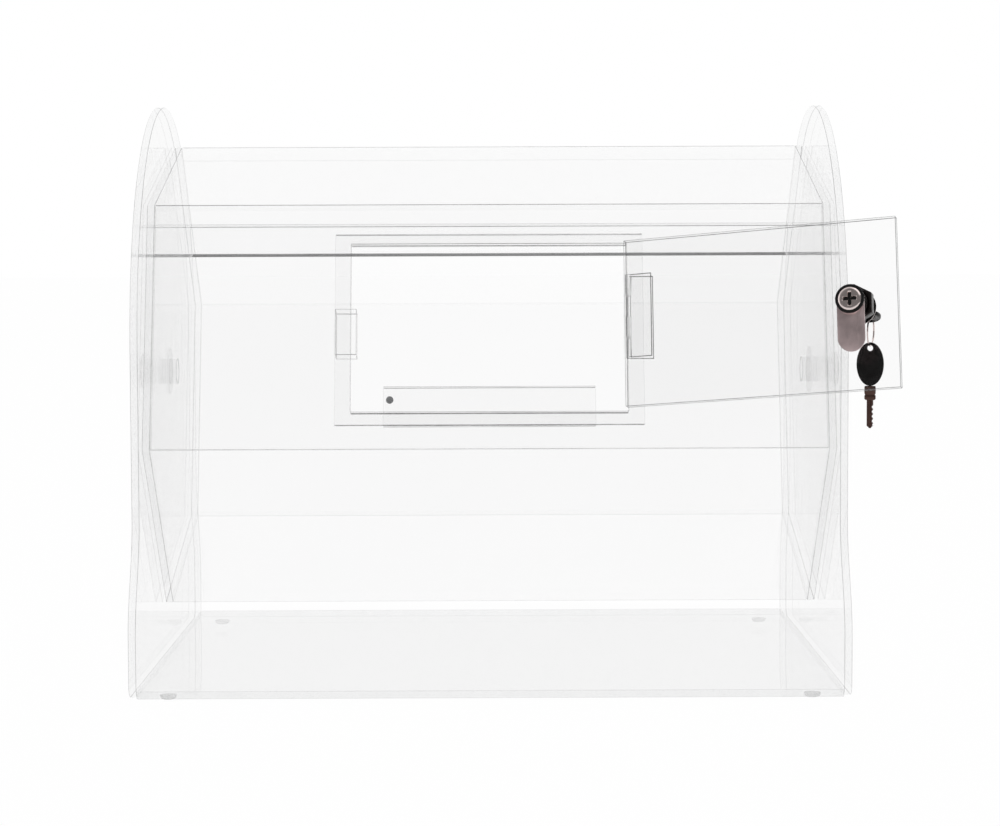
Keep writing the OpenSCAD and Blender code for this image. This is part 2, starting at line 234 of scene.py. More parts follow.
def bevel_corners(work, width, segments, least_turn, shortest, last):
    """Bevel the edges that turn by least_turn degrees and are longer than shortest, in the last material."""
    corners = [
        edge for edge in work.edges
        if len(edge.link_faces) == 2
        and edge.calc_face_angle() > math.radians(least_turn)
        and edge.calc_length() > shortest
    ]
    bmesh.ops.bevel(
        work,
        geom=corners,
        offset=width,
        segments=segments,
        affect="EDGES",
        profile=0.5,
        clamp_overlap=shortest == 0.0,
        material=last,
    )
    work.normal_update()


def bevelled_copy(node, name, materials, body, corner, hair=0.0, sheet=False, segments=1,
                  least_turn=40, shortest=0.0):
    """A copy of a CAD node with bevelled corners; the bevels take the last material.

    A sheet's broad faces take the first material and stay flat, its cut faces the second, and the cut faces
    that look down the third, on some sheets a darker finish as painted shade; of its bevels, those off the x
    axis take the last material but one.
    """
    last = len(materials) - 1
    work = merged_copy(node, hair)
    if sheet:
        mark_cut_faces(work)
    bevel_corners(work, corner, segments, least_turn, shortest, last)
    if sheet:
        for face in work.faces:
            if face.material_index == last and abs(face.normal.x) > ALONG_X:
                face.material_index -= 1
    mesh = empty_mesh(name, materials)
    work.to_mesh(mesh)
    work.free()
    piece = finished(mesh, name, body, [node])
    if sheet:
        mesh.polygons.foreach_set("use_smooth", [face.material_index > 0 for face in mesh.polygons])
    return piece


# ---- Materials ----

# Refractive index of acrylic sheet
ACRYLIC_INDEX = 1.49


def looks():
    """The colours and sizes that the sidebar shows."""
    return bpy.context.scene.drum_looks


class Wiring:
    """A short way to lay out and join nodes on an emptied node tree."""

    def __init__(self, tree):
        self.tree = tree
        self.tree.nodes.clear()

    def add(self, kind, **settings):
        """A new node; a setting named like a socket goes to that socket, others to the node itself."""
        node = self.tree.nodes.new(kind)
        for key, value in settings.items():
            socket = node.inputs.get(key.replace("_", " "))
            if socket is None:
                setattr(node, key, value)
            else:
                self.feed(socket, value)
        return node

    def feed(self, socket, value):
        """Give a socket its value, or link it where the value is another socket."""
        if isinstance(value, bpy.types.NodeSocket):
            self.tree.links.new(value, socket)
        else:
            socket.default_value = value

    def maths(self, operation, first, second):
        """Arithmetic on two values or sockets."""
        node = self.add("ShaderNodeMath", operation=operation)
        for socket, value in zip(node.inputs, (first, second)):
            self.feed(socket, value)
        return node.outputs[0]

    def between(self, value, low, high, start=0.0, end=1.0):
        """A value that runs from start to end, stretched to run from low to high."""
        return self.add(
            "ShaderNodeMapRange", Value=value, From_Min=start, From_Max=end, To_Min=low, To_Max=high
        ).outputs["Result"]


class Shader(Wiring):
    """The nodes of one new material."""

    def __init__(self, name):
        self.material = bpy.data.materials.new(name)
        self.material.use_nodes = True
        super().__init__(self.material.node_tree)
        self.output = self.add("ShaderNodeOutputMaterial")

    def noise(self, scale, detail=4.0, stretch=(1.0, 1.0, 1.0)):
        """Cloudy noise on the object's own coordinates, drawn out along its axes."""
        coordinates = self.add("ShaderNodeTexCoord").outputs["Object"]
        mapping = self.add("ShaderNodeMapping", Vector=coordinates, Scale=stretch)
        return self.add(
            "ShaderNodeTexNoise", Vector=mapping.outputs[0], Scale=scale, Detail=detail
        ).outputs["Fac"]

    def relief(self, height, strength):
        """The surface's direction, roughened by a value as if it stood up to a fifth of a millimetre."""
        return self.add("ShaderNodeBump", Strength=strength, Distance=0.0002, Height=height).outputs[0]

    def mix(self, share, first, second):
        """Two shaders laid over each other; share is how much of the second shows."""
        node = self.add("ShaderNodeMixShader")
        for socket, value in zip(node.inputs, (share, first, second)):
            self.feed(socket, value)
        return node.outputs[0]

    def done(self, shader):
        """The material with this shader as its surface."""
        self.tree.links.new(shader, self.output.inputs["Surface"])
        return self.material


def grey(value):
    """An even colour of this brightness."""
    return (value, value, value, 1.0)


def clear_face(name, clearness):
    """Polished sheet seen through its face: clear head on, a pale mirror at a glancing angle.

    The mirror's share is its share head on plus a part that grows with the fifth power of the glance.
    """
    paint = Shader(name)
    head_on, glancing = 0.014, 0.75
    facing = paint.add("ShaderNodeLayerWeight", Blend=0.5).outputs["Facing"]
    glance = paint.maths("POWER", facing, 5.0)
    mirror = paint.maths("ADD", paint.maths("MULTIPLY", glance, glancing), head_on)
    haze = paint.between(paint.noise(scale=9.0), clearness - 0.004, min(1.0, clearness + 0.002))
    tint = paint.add("ShaderNodeCombineColor", Red=haze, Green=haze, Blue=haze).outputs[0]
    through = paint.add("ShaderNodeBsdfTransparent", Color=tint).outputs[0]
    smear = paint.between(paint.noise(scale=35.0, stretch=(1.0, 4.0, 1.0)), 0.01, 0.06)
    gloss = paint.add("ShaderNodeBsdfGlossy", Color=grey(looks().face_mirror), Roughness=smear)
    return paint.done(paint.mix(mirror, through, gloss.outputs[0]))


def cut_edge(name, clearness, milk_share):
    """Flame-polished cut edge: mostly clear, with milky streaks across the sheet."""
    paint = Shader(name)
    streak = paint.noise(scale=60.0, detail=3.0, stretch=(1.0, 1.0, 0.3))
    through = paint.add("ShaderNodeBsdfTransparent", Color=grey(clearness)).outputs[0]
    milk = paint.add(
        "ShaderNodeBsdfPrincipled",
        Base_Color=looks().edge_colour,
        Roughness=paint.between(streak, 0.15, 0.4),
        IOR=ACRYLIC_INDEX,
    ).outputs[0]
    share = paint.between(streak, milk_share * 0.5, milk_share * 1.4)
    return paint.done(paint.mix(share, through, milk))


def corner_line(name, strength):
    """Polished corner that turns light aside; its grey line of uneven strength is painted shade."""
    paint = Shader(name)
    broken = paint.noise(scale=25.0, detail=5.0)
    through = paint.add("ShaderNodeBsdfTransparent", Color=grey(0.98)).outputs[0]
    line = paint.add(
        "ShaderNodeBsdfPrincipled",
        Base_Color=looks().line_colour,
        Roughness=paint.between(broken, 0.1, 0.35),
        IOR=ACRYLIC_INDEX,
    ).outputs[0]
    share = paint.between(broken, strength * 0.4, min(1.0, strength * 1.5))
    return paint.done(paint.mix(share, through, line))


def plated(name, colour, roughness, grain):
    """Plating over turned metal: fine cloudy wear in its roughness and a little relief."""
    paint = Shader(name)
    wear = paint.noise(grain, detail=6.0)
    surface = paint.add(
        "ShaderNodeBsdfPrincipled",
        Base_Color=tuple(colour),
        Metallic=1.0,
        Roughness=paint.between(wear, roughness * 0.6, roughness * 1.5),
        Normal=paint.relief(wear, 0.12),
    )
    return paint.done(surface.outputs[0])


def brushed(name, colour, lay):
    """Rolled or brushed steel: fine lines drawn out along one direction, and soft blotches of colour."""
    paint = Shader(name)
    lines = paint.noise(scale=900.0, detail=3.0, stretch=lay)
    blotch = paint.noise(scale=120.0, detail=4.0)
    shade = paint.between(blotch, 0.6, 1.35)
    scaled = [paint.maths("MULTIPLY", shade, part) for part in tuple(colour)[:3]]
    colours = paint.add("ShaderNodeCombineColor", Red=scaled[0], Green=scaled[1], Blue=scaled[2])
    surface = paint.add(
        "ShaderNodeBsdfPrincipled",
        Base_Color=colours.outputs[0],
        Metallic=1.0,
        Roughness=paint.between(lines, 0.28, 0.5),
        Normal=paint.relief(lines, 0.15),
    )
    return paint.done(surface.outputs[0])


def moulded(name, colour, roughness, bumpiness=0.2, scale=700.0, gloss=0.5):
    """Moulded plastic or rubber with a fine skin of pits."""
    paint = Shader(name)
    pits = paint.noise(scale, detail=4.0)
    surface = paint.add(
        "ShaderNodeBsdfPrincipled",
        Base_Color=tuple(colour),
        Roughness=paint.between(pits, roughness * 0.8, roughness * 1.25),
        Specular_IOR_Level=gloss,
        Normal=paint.relief(pits, bumpiness),
    )
    return paint.done(surface.outputs[0])


def soft_clear(name, colour, share):
    """Half-clear soft plastic: a milky body that lets part of the light straight through."""
    paint = Shader(name)
    cloud = paint.noise(scale=150.0)
    through = paint.add("ShaderNodeBsdfTransparent", Color=grey(0.95)).outputs[0]
    body = paint.add(
        "ShaderNodeBsdfPrincipled",
        Base_Color=tuple(colour),
        Roughness=paint.between(cloud, 0.25, 0.45),
        IOR=1.45,
    ).outputs[0]
    return paint.done(paint.mix(paint.between(cloud, share * 0.85, share * 1.1), through, body))


# Finishes already made, by name
FINISHES = {}


def finish_makers():
    """Each finish's maker and the settings it is given."""
    tones = looks()
    clear, milk, line = tones.face_clearness, tones.edge_milk, tones.line_strength
    nickel = tones.nickel_colour
    return {
        "clear_face": (clear_face, dict(clearness=clear)),
        "side_face": (clear_face, dict(clearness=clear + 0.005)),
        "base_face": (clear_face, dict(clearness=clear - 0.04)),
        "cut_edge": (cut_edge, dict(clearness=0.985, milk_share=milk)),
        "plain_edge": (cut_edge, dict(clearness=0.94, milk_share=milk)),
        "soft_edge": (cut_edge, dict(clearness=0.99, milk_share=milk * 0.5)),
        "glued_edge": (cut_edge, dict(clearness=0.998, milk_share=milk * 0.12)),
        # painted shade: a near-opaque copy of the cut edge for the rear brace's cut faces that look down
        "painted_shade_edge": (cut_edge, dict(clearness=0.16, milk_share=milk)),
        # painted shade: how strongly each corner line is painted grey, from hair to strong
        "hair_line": (corner_line, dict(strength=line * 0.1)),
        "faint_line": (corner_line, dict(strength=line * 0.4)),
        "plain_line": (corner_line, dict(strength=line)),
        "strong_line": (corner_line, dict(strength=min(1.0, line * 2.0))),
        "nickel": (plated, dict(colour=nickel, roughness=0.16, grain=500.0)),
        "bright_wire": (plated, dict(colour=nickel, roughness=0.12, grain=900.0)),
        "dark_metal": (plated, dict(colour=tones.dark_metal_colour, roughness=0.3, grain=700.0)),
        "satin_cam": (brushed, dict(colour=tones.cam_colour, lay=(1.0, 1.0, 0.08))),
        "aged_blade": (brushed, dict(colour=tones.key_steel_colour, lay=(1.0, 1.0, 0.1))),
        "polished_black": (moulded, dict(colour=tones.key_head_colour, roughness=0.25, gloss=0.06)),
        "matt_rubber": (moulded, dict(colour=tones.rubber_colour, roughness=0.6, bumpiness=0.3)),
        # painted shade: a near-black finish laid into the lock's grooves, bore, keyway and cross, where shade
        # falls
        "painted_shade_recess": (moulded, dict(colour=grey(0.006), roughness=0.5, bumpiness=0.1, gloss=0.2)),
        "milky_foot": (soft_clear, dict(colour=grey(0.9), share=0.4)),
        "milky_washer": (soft_clear, dict(colour=grey(0.92), share=0.22)),
    }


def finish_named(name):
    """The finish of that name, made when it is first asked for."""
    if name not in FINISHES:
        maker, settings = finish_makers()[name]
        FINISHES[name] = maker(name, **settings)
    return FINISHES[name]


def finishes(*names):
    """Several finishes in order."""
    return [finish_named(name) for name in names]


# ---- Settings ----


class DrumLooks(bpy.types.PropertyGroup):
    """Colours and small sizes of the drum's pieces."""

    corner: bpy.props.FloatProperty(
        name="Corner", description="Width of the polished corner on the sheet", default=0.00042,
        unit="LENGTH", precision=5,
    )
    glue_gap: bpy.props.FloatProperty(
        name="Glue line", description="How far each sheet is drawn in at its joints", default=0.00005,
        unit="LENGTH", precision=5,
    )
    face_clearness: bpy.props.FloatProperty(
        name="Face clearness", description="Light let through by one face", default=0.993, min=0.5, max=1.0
    )
    face_mirror: bpy.props.FloatProperty(
        name="Face mirror", description="Brightness of what a face mirrors", default=0.95, min=0.0, max=1.0
    )
    edge_milk: bpy.props.FloatProperty(
        name="Edge milk", description="Share of a cut edge that is milky", default=0.14, min=0.0, max=1.0
    )
    edge_colour: bpy.props.FloatVectorProperty(
        name="Edge", description="Colour of the milky cut edge", subtype="COLOR", size=4,
        default=(0.8, 0.82, 0.83, 1.0),
    )
    # painted shade: the grey a clear polished corner shows where it bends light aside, not a colour of the
    # sheet
    line_colour: bpy.props.FloatVectorProperty(
        name="Line", description="Colour of a polished corner", subtype="COLOR", size=4,
        default=(0.1, 0.1, 0.105, 1.0),
    )
    line_strength: bpy.props.FloatProperty(
        name="Line strength", description="How strongly a plain corner shows", default=0.45, min=0.0, max=1.0
    )
    nickel_colour: bpy.props.FloatVectorProperty(
        name="Nickel", description="Colour of the lock's bright plating", subtype="COLOR", size=4,
        default=(0.68, 0.59, 0.57, 1.0),
    )
    dark_metal_colour: bpy.props.FloatVectorProperty(
        name="Dark metal", description="Colour of the lock's barrel and nut", subtype="COLOR", size=4,
        default=(0.035, 0.031, 0.03, 1.0),
    )
    cam_colour: bpy.props.FloatVectorProperty(
        name="Cam", description="Colour of the steel cam", subtype="COLOR", size=4,
        default=(0.66, 0.53, 0.53, 1.0),
    )
    key_steel_colour: bpy.props.FloatVectorProperty(
        name="Key steel", description="Colour of the key blades", subtype="COLOR", size=4,
        default=(0.085, 0.05, 0.042, 1.0),
    )
    key_head_colour: bpy.props.FloatVectorProperty(
        name="Key head", description="Colour of the moulded key heads", subtype="COLOR", size=4,
        default=(0.003, 0.0026, 0.0026, 1.0),
    )
    rubber_colour: bpy.props.FloatVectorProperty(
        name="Rubber", description="Colour of the doorway's bumper", subtype="COLOR", size=4,
        default=(0.22, 0.225, 0.23, 1.0),
    )


class StudioLooks(bpy.types.PropertyGroup):
    """Camera and lights."""

    lens: bpy.props.FloatProperty(name="Lens", description="Focal length in millimetres", default=94.68)
    camera_side: bpy.props.FloatProperty(
        name="Side", description="Camera's place to the right of the axle's middle", default=0.0016,
        unit="LENGTH",
    )
    camera_back: bpy.props.FloatProperty(
        name="Back", description="Camera's distance in front of the axle", default=2.0377, unit="LENGTH"
    )
    camera_rise: bpy.props.FloatProperty(
        name="Rise", description="Camera's height above the axle", default=0.093, unit="LENGTH"
    )
    pitch: bpy.props.FloatProperty(
        name="Pitch", description="How far the camera looks down", default=math.radians(3.55),
        subtype="ANGLE",
    )
    yaw: bpy.props.FloatProperty(
        name="Yaw", description="How far the camera looks to the right", default=math.radians(0.18),
        subtype="ANGLE",
    )
    roll: bpy.props.FloatProperty(
        name="Roll", description="Turn of the camera about its line of sight",
        default=math.radians(-0.2), subtype="ANGLE",
    )
    lamp_power: bpy.props.FloatProperty(
        name="Lamps", description="Power of the main lamp in watts", default=28.0, min=0.0
    )
    front_gloss: bpy.props.FloatProperty(
        name="Front in gloss", description="How bright the room in front looks in polished surfaces",
        default=0.22, min=0.0, max=1.0,
    )
    room_light: bpy.props.FloatProperty(
        name="Room light", description="Strength of the light from all round", default=0.55, min=0.0
    )


# ---- Stand and drum ----

# Least turn in degrees of a sheet's edge that gets a polished corner
SHEET_TURN = 70
SHEETS = {
    "stand": ("base_plate", "rear_brace", "left_end_panel", "right_end_panel"),
    "drum": (
        "left_drum_end", "right_drum_end", "top_wall", "upper_rear_wall", "lower_rear_wall",
        "bottom_wall", "lower_front_wall", "door_wall", "door_frame", "door_stop", "lock_strike",
    ),
    "door": ("door_panel",),
}
# Finishes of a sheet's broad faces, cut faces, cut faces that look down (a darker finish there is painted
# shade), bevels elsewhere and bevels along x
END_SHEET = ("side_face", "soft_edge", "soft_edge", "plain_line", "plain_line")
REAR_WALL = ("clear_face", "glued_edge", "glued_edge", "hair_line", "hair_line")
LOW_WALL = ("clear_face", "glued_edge", "glued_edge", "hair_line", "faint_line")
DOORWAY_STRIP = ("clear_face", "glued_edge", "cut_edge", "hair_line", "strong_line")
FINISH_OF = {
    "base_plate": ("base_face", "cut_edge", "cut_edge", "faint_line", "faint_line"),
    "rear_brace": ("clear_face", "plain_edge", "painted_shade_edge", "hair_line", "strong_line"),
    "left_end_panel": END_SHEET,
    "right_end_panel": END_SHEET,
    "left_drum_end": END_SHEET,
    "right_drum_end": END_SHEET,
    "top_wall": ("clear_face", "glued_edge", "glued_edge", "hair_line", "strong_line"),
    "upper_rear_wall": REAR_WALL,
    "lower_rear_wall": REAR_WALL,
    "bottom_wall": LOW_WALL,
    "lower_front_wall": LOW_WALL,
    "door_wall": ("clear_face", "glued_edge", "glued_edge", "faint_line", "strong_line"),
    "door_frame": DOORWAY_STRIP,
    "door_stop": DOORWAY_STRIP,
    "lock_strike": ("clear_face", "glued_edge", "glued_edge", "plain_line", "strong_line"),
    "door_panel": ("clear_face", "cut_edge", "cut_edge", "strong_line", "strong_line"),
}


def add_sheet(node, body):
    """One piece of clear sheet with cut edges and polished corners."""
    bevelled_copy(
        node,
        f"sheet_{node}",
        finishes(*FINISH_OF[node]),
        body,
        corner=looks().corner,
        hair=looks().glue_gap,
        sheet=True,
        least_turn=SHEET_TURN,
    )


class DRUM_OT_stand(bpy.types.Operator):
    """Make the end panels, base plate and rear brace"""

    bl_idname = "drum.stand"
    bl_label = "Stand"
    bl_options = {"REGISTER", "UNDO"}

    def execute(self, context):
        """Dress each sheet of the stand."""
        for node in SHEETS["stand"]:
            add_sheet(node, "stand")
        return {"FINISHED"}


class DRUM_OT_feet(bpy.types.Operator):
    """Make the soft bumper feet"""

    bl_idname = "drum.feet"
    bl_label = "Bumper feet"
    bl_options = {"REGISTER", "UNDO"}

    def execute(self, context):
        """Four low domes, widest at the base plate: the radius grows with height as a quarter ellipse."""
        low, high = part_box("bumper_feet")
        radius = foot_radius()
        tip_share = 0.62
        rise = np.linspace(0, 1, 9)
        swell = np.sqrt(1 - (1 - rise) ** 2)
        profile = np.stack([
            low.z + (high.z - low.z) * rise,
            radius * (tip_share + (1 - tip_share) * swell),
        ], axis=1)
        shells = []
        for x in (low.x + radius, high.x - radius):
            for y in (low.y + radius, high.y - radius):
                upright = Seat((x, y, 0), (0, 0, 1), (1, 0, 0))
                shells.append(turned(upright, profile, sides=40))
        piece_from("bumper_domes", shells, finishes("milky_foot"), "stand", ["bumper_feet"])
        return {"FINISHED"}


def foot_radius():
    """Radius of one foot: half the width of the corners found near the lowest x and y."""
    points = points_of("bumper_feet")
    corner = points[(points[:, 0] < 0) & (points[:, 1] < 0)]
    return (corner[:, 0].max() - corner[:, 0].min()) / 2


class DRUM_OT_shell(bpy.types.Operator):
    """Make the drum's ends, walls, door frame, stop and strike"""

    bl_idname = "drum.shell"
    bl_label = "Drum shell"
    bl_options = {"REGISTER", "UNDO"}

    def execute(self, context):
        """Dress each sheet of the drum."""
        for node in SHEETS["drum"]:
            add_sheet(node, "drum")
        return {"FINISHED"}


class DRUM_OT_axles(bpy.types.Operator):
    """Make the axles, their knobs and the thin washers"""

    bl_idname = "drum.axles"
    bl_label = "Axles and knobs"
    bl_options = {"REGISTER", "UNDO"}

    # How far a rod is drawn in from its bore, and the width of the bevel at its ends
    rod_ease = 0.00002
    rod_bevel = 0.0006
    # Gaps between a washer and its rod, and between a washer and the drum
    washer_clear = 0.0001
    washer_seat = 0.00005

    def execute(self, context):
        """Each end alike: a clear rod, a bevelled knob and a frosted washer."""
        for side, outside in (("left", (-1, 0, 0)), ("right", (1, 0, 0))):
            outward = Seat(DRUM.start, outside, DRUM.axes[2])
            self.add_rod(side, outward)
            self.add_knob(side, outward)
            self.add_washer(side, outward)
        return {"FINISHED"}

    def add_rod(self, side, outward):
        """A plain rod with a fine bevel at each end."""
        node = f"{side}_axle"
        low, high = measure(outward, node)
        start, end, radius = low[0], high[0], high[2] - self.rod_ease
        bevel = self.rod_bevel
        profile = [
            (start, radius - bevel), (start + bevel, radius),
            (end - bevel, radius), (end, radius - bevel),
        ]
        shell = turned(outward, profile, slots=(2, 1, 2))
        dress = finishes("clear_face", "glued_edge", "faint_line")
        piece_from(f"rod_{side}", [shell], dress, "drum", [node])

    def add_knob(self, side, outward):
        """A round knob: straight sides, a wide polished bevel and a flat end with a shallow dish in it."""
        node = f"{side}_knob"
        low, high = measure(outward, node)
        start, end, radius = low[0], high[0], high[2]
        bevel = radius * 0.1
        shoulder = bevel * 0.3
        dish_rim, dish_floor, dish_depth = radius * 0.45, radius * 0.38, bevel * 0.4
        profile = [
            (start, radius - bevel / 2), (start + bevel / 2, radius), (end - bevel, radius),
            (end - shoulder, radius - shoulder), (end, radius - bevel),
            (end, dish_rim), (end - dish_depth, dish_floor),
        ]
        shell = turned(outward, profile, sides=72, slots=(2, 1, 2, 2, 0, 2))
        dress = finishes("clear_face", "glued_edge", "faint_line")
        piece_from(f"round_knob_{side}", [shell], dress, "drum", [node])

    def add_washer(self, side, outward):
        """A thin ring with rounded rims."""
        node = f"{side}_washer"
        low, high = measure(outward, node)
        inner = measure(outward, f"{side}_axle")[1][2] + self.washer_clear
        outer, start, end = high[2], low[0] + self.washer_seat, high[0]
        soft = (end - start) / 4
        profile = [
            (start, inner + soft), (start, outer - soft), (start + soft, outer), (end - soft, outer),
            (end, outer - soft), (end, inner + soft), (end - soft, inner), (start + soft, inner),
        ]
        shell = turned(outward, profile, wrap=True)
        piece_from(f"thin_washer_{side}", [shell], finishes("milky_washer"), "drum", [node])


class DRUM_OT_bumper(bpy.types.Operator):
    """Make the small rubber bumper in the doorway"""

    bl_idname = "drum.bumper"
    bl_label = "Door bumper"
    bl_options = {"REGISTER", "UNDO"}

    def execute(self, context):
        """A low button with straight sides under a crown that bends over as a quarter ellipse."""
        low, high = measure(DRUM, "stop_bumper")
        centre = (low + high) / 2
        radius, height = (high[0] - low[0]) / 2, high[1] - low[1]
        seat = Seat(DRUM.out((centre[0], high[1], centre[2])), -DRUM.axes[1], DRUM.axes[2])
        side_share, crown_share, crown_reach = 0.4, 0.55, 0.4
        bend = np.linspace(0, math.pi / 2, 7)
        crown = np.stack([
            height * (side_share + (1 - side_share) * np.sin(bend)),
            radius * (crown_share + crown_reach * np.cos(bend)),
        ], axis=1)
        shell = turned(seat, np.concatenate([[(0.0, radius)], crown]), sides=40)
        piece_from("rubber_button", [shell], finishes("matt_rubber"), "drum", ["stop_bumper"])
        return {"FINISHED"}


# ---- Door, hinge and lock ----


class DRUM_OT_door(bpy.types.Operator):
    """Make the door panel"""

    bl_idname = "drum.door"
    bl_label = "Door"
    bl_options = {"REGISTER", "UNDO"}

    def execute(self, context):
        """Dress the door's sheet."""
        for node in SHEETS["door"]:
            add_sheet(node, "door")
        return {"FINISHED"}


class DRUM_OT_hinge(bpy.types.Operator):
    """Make the hinge's leaves and pin"""

    bl_idname = "drum.hinge"
    bl_label = "Hinge"
    bl_options = {"REGISTER", "UNDO"}

    # Corner and glue line of a leaf as shares of a sheet's, and the shortest edge that gets a corner
    leaf_corner = 1.2
    leaf_glue = 0.5
    leaf_edge = 0.005
    # How far the pin is drawn in from its bores
    pin_ease = 0.00001

    def execute(self, context):
        """Two clear moulded leaves and the pin that joins them."""
        for node, body in (("hinge_wall_leaf", "drum"), ("hinge_door_leaf", "door")):
            bevelled_copy(
                node,
                f"moulded_{node}",
                finishes("clear_face", "glued_edge", "cut_edge", "strong_line", "strong_line"),
                body,
                corner=looks().corner * self.leaf_corner,
                hair=looks().glue_gap * self.leaf_glue,
                sheet=True,
                shortest=self.leaf_edge,
            )
        self.add_pin()
        return {"FINISHED"}

    def add_pin(self):
        """A clear rod along the hinge's axis, each end rounded as a quarter ellipse round a small flat."""
        upright = Seat(JOINTS["door_swing"]["pos_m"], HINGE_AXIS, DRUM.axes[0])
        low, high = measure(upright, "hinge_pin")
        radius = high[1] - self.pin_ease
        flat = 0.3
        bend = np.linspace(0, math.pi / 2, 6)
        top = np.stack([
            high[0] - radius * (1 - np.sin(bend)),
            radius * (flat + (1 - flat) * np.cos(bend)),
        ], axis=1)
        bottom = top[::-1] * (-1, 1) + (high[0] + low[0], 0)
        shell = turned(upright, np.concatenate([bottom, top]), sides=32)
        piece_from("clear_pin", [shell], finishes("milky_washer"), "drum", ["hinge_pin"])


